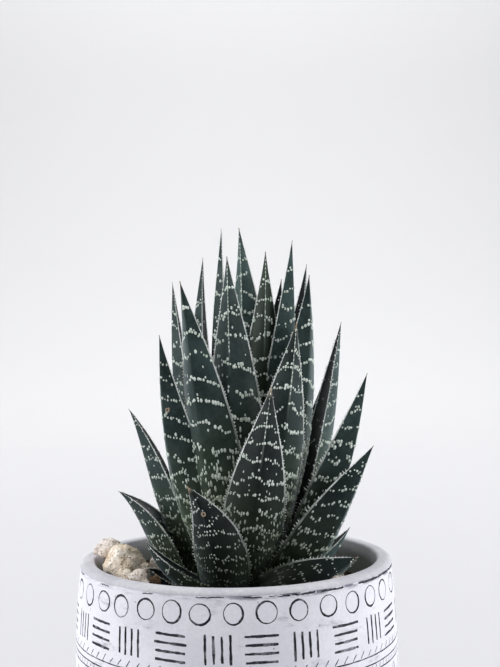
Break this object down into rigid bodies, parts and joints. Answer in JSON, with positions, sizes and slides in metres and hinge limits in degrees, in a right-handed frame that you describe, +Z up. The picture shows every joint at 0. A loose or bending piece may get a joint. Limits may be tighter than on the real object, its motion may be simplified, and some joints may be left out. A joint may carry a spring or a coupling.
{
  "type": "lace aloe in a pot",
  "caption": "Upright rosette of keeled, white-dotted aloe leaves in a round barrel-shaped clay pot with an impressed ornament, with soil and pale porous stones.",
  "frame": {"origin": "middle of the pot's flat base, on the surface that it stands on", "axes": "+Z up along the pot's axis, -Y towards the side that the picture shows, +X to the right as seen from there"},
  "size_m": [0.1146, 0.1146, 0.218],
  "materials": {
    "clay": "matte",
    "compost": "matte",
    "stem": "matte",
    "leaf": "satin",
    "stone": "matte"
  },
  "bodies": {
    "root": {"pot": "clay", "soil": "compost", "stem": "stem", "leaf_heart_1": "leaf", "leaf_heart_2": "leaf", "leaf_heart_3": "leaf", "leaf_heart_4": "leaf", "leaf_inner_1": "leaf", "leaf_inner_2": "leaf", "leaf_inner_3": "leaf", "leaf_inner_4": "leaf", "leaf_inner_5": "leaf", "leaf_inner_6": "leaf", "leaf_middle_1": "leaf", "leaf_middle_2": "leaf", "leaf_middle_3": "leaf", "leaf_middle_4": "leaf", "leaf_middle_5": "leaf", "leaf_middle_6": "leaf", "leaf_middle_7": "leaf", "leaf_middle_8": "leaf", "leaf_outer_1": "leaf", "leaf_outer_2": "leaf", "leaf_outer_3": "leaf", "leaf_outer_4": "leaf", "leaf_outer_5": "leaf", "leaf_outer_6": "leaf", "leaf_outer_7": "leaf", "leaf_outer_8": "leaf", "leaf_low_1": "leaf", "leaf_low_2": "leaf", "leaf_low_3": "leaf", "leaf_low_4": "leaf", "leaf_low_5": "leaf", "leaf_low_6": "leaf", "leaf_low_7": "leaf", "leaf_low_8": "leaf", "leaf_lowest_1": "leaf", "leaf_lowest_2": "leaf", "leaf_lowest_3": "leaf", "leaf_lowest_4": "leaf", "leaf_lowest_5": "leaf", "leaf_lowest_6": "leaf", "leaf_lowest_7": "leaf", "stone_1": "stone", "stone_2": "stone", "stone_3": "stone", "stone_4": "stone", "stone_5": "stone", "stone_6": "stone", "stone_7": "stone", "stone_8": "stone", "stone_9": "stone", "stone_10": "stone"}
  },
  "joints": []
}
